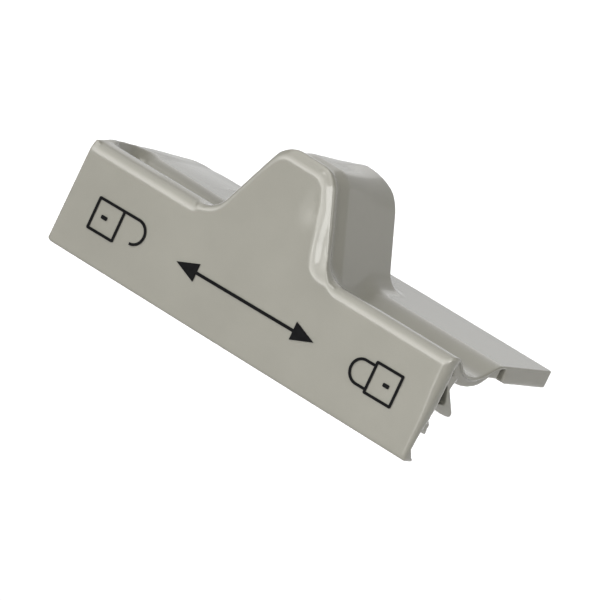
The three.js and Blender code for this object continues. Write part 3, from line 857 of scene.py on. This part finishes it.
def add_mechanism():
    grey = moulded_plastic("base_satin", (0.13, 0.128, 0.12), 0.42, 0, 0.3)
    white = moulded_plastic("nylon_satin", (0.72, 0.7, 0.63), 0.45, 0, 0.3)
    ground = brushed_metal("bolt_ground_steel", (0.56, 0.57, 0.58), 0.24, 60)
    plated = brushed_metal("screw_zinc", (0.5, 0.51, 0.52), 0.32, 25)
    sprung = brushed_metal("spring_rolled_steel", (0.3, 0.31, 0.33), 0.35, 90)
    brass = brushed_metal("insert_brass_metal", (0.56, 0.4, 0.17), 0.34, 30)
    add_piece("guide_base_body", base_field, "guide_base", "base", grey, 0.55)
    add_piece("bottom_plate_panel", plate_field, "bottom_plate", "base", grey, 0.3)
    for n in (1, 2, 3, 4):
        node = f"plate_screw_{n}"
        screw = screw_field(node, 1.9, 1.05, 2)
        add_piece(f"{node}_turned", screw, node, "base", plated, 0.12)
    for n in (1, 2):
        node = f"thread_insert_{n}"
        add_piece(f"{node}_knurled", insert_field(node), node, "base", brass, 0.16)
    add_piece("bolt_bush_turned", bush_field, "bolt_bush", "base", white, 0.3)
    add_piece("detent_leaf", spring_field, "detent_spring", "base", sprung, 0.16)
    screw = screw_field("detent_screw", 2.2, 1.3, 1)
    add_piece("detent_screw_turned", screw, "detent_screw", "base", plated, 0.12)
    add_piece("drive_block_moulded", drive_field, "drive_block", "slider", white, 0.4)
    add_piece("locking_bolt_ground", bolt_field, "locking_bolt", "slider", ground, 0.3)
    add_piece("bolt_pin_turned", pin_field, "bolt_pin", "slider", ground, 0.2)


def ink_marks():
    """The printed marks keep their CAD shape and get the look of pad-printed ink."""
    ink = printed_ink("pad_print")
    for node in ("unlocked_padlock", "unlocked_keyhole", "slide_arrow", "locked_padlock", "locked_keyhole"):
        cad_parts[node].material_slots[0].material = ink


add_cover()
add_mechanism()
ink_marks()

# ---------------------------------------------------------------- floor and light


def make_floor():
    """A pale floor well below the object, so that no shadow of it is near."""
    size, drop = 8, 0.4
    mesh = bpy.data.meshes.new("floor")
    corners = [(-size, -size, 0), (size, -size, 0), (size, size, 0), (-size, size, 0)]
    mesh.from_pydata(corners, [], [(0, 1, 2, 3)])
    floor = bpy.data.objects.new("floor", mesh)
    floor.location.z = -drop
    scene.collection.objects.link(floor)
    material, nodes, links = new_material("floor_white")
    shader = nodes["Principled BSDF"]
    shader.inputs["Base Color"].default_value = (0.78, 0.78, 0.78, 1)
    shader.inputs["Roughness"].default_value = 1
    shader.inputs["Specular IOR Level"].default_value = 0
    mesh.materials.append(material)


def make_softbox(name, azimuth, elevation, size, radiance):
    """A soft area light in a direction from the object, in degrees, with the brightness of its face."""
    data = bpy.data.lights.new(name, "AREA")
    data.shape = "RECTANGLE"
    data.size, data.size_y = size
    data.energy = radiance * math.pi * size[0] * size[1]
    lamp = bpy.data.objects.new(name, data)
    azimuth, elevation = math.radians(azimuth), math.radians(elevation)
    towards = Vector((
        math.sin(azimuth) * math.cos(elevation),
        -math.cos(azimuth) * math.cos(elevation),
        math.sin(elevation),
    ))
    lamp.location = view_aim + towards * softbox_distance
    lamp.rotation_euler = towards.to_track_quat("Z", "Y").to_euler()
    scene.collection.objects.link(lamp)


def make_backdrop_light():
    """A wide light over the floor behind the object, kept off the object by its narrow spread."""
    data = bpy.data.lights.new("backdrop_light", "AREA")
    data.shape = "SQUARE"
    data.size = 5
    data.spread = math.radians(50)
    data.energy = backdrop_power
    lamp = bpy.data.objects.new("backdrop_light", data)
    behind, above = 4.2, 1.6
    lamp.location = (-behind * math.sin(view_azimuth), behind * math.cos(view_azimuth), above)
    scene.collection.objects.link(lamp)


def make_world():
    """A studio with one brightness for each of the six directions, blended between them."""
    world = bpy.data.worlds.new("studio")
    world.use_nodes = True
    nodes, links = world.node_tree.nodes, world.node_tree.links
    direction = nodes.new("ShaderNodeTexCoord").outputs["Generated"]
    total = nodes.new("ShaderNodeMath")
    total.operation = "ADD"
    for socket, sign, brightness in ((0, 1, world_ahead), (1, -1, world_behind)):
        signed = nodes.new("ShaderNodeVectorMath")
        signed.operation = "MULTIPLY"
        signed.inputs[1].default_value = (sign, sign, sign)
        part = nodes.new("ShaderNodeVectorMath")
        part.operation = "MAXIMUM"
        weighted = nodes.new("ShaderNodeVectorMath")
        weighted.operation = "DOT_PRODUCT"
        weighted.inputs[1].default_value = brightness
        links.new(direction, signed.inputs[0])
        links.new(signed.outputs["Vector"], part.inputs[0])
        links.new(part.outputs["Vector"], weighted.inputs[0])
        links.new(weighted.outputs["Value"], total.inputs[socket])
    background = nodes["Background"]
    background.inputs["Color"].default_value = (1, 1, 1, 1)
    links.new(total.outputs[0], background.inputs["Strength"])
    scene.world = world


# brightness of the studio towards +X, +Y, +Z and towards -X, -Y, -Z
world_ahead = (0, 0.65, 0)
world_behind = (0.39, 2.94, 0)
backdrop_power = 60
softbox_distance = 1.6
wide, small = (0.8, 0.7), (0.42, 0.38)
# each softbox's azimuth, elevation, size and brightness
softboxes = {
    "softbox_right": (52, 20, wide, 2.7),
    "softbox_far_right": (100, 25, wide, 1.5),
    "softbox_right_low": (60, 10, small, 1.65),
    "softbox_low_front": (0, -5, small, 2.1),
    "softbox_low_left": (-20, -5, small, 0.6),
    "softbox_above": (0, 80, wide, 2.25),
    "softbox_left_high": (-90, 55, wide, 0.71),
    "softbox_front": (-30, 8, wide, 0.55),
    "softbox_back_left_high": (-135, 55, wide, 0.25),
    "softbox_back_left": (-150, 30, wide, 0.3),
    "softbox_back_right": (150, 8, wide, 0.18),
}

make_floor()
make_world()
make_backdrop_light()
for name, place in softboxes.items():
    make_softbox(name, *place)
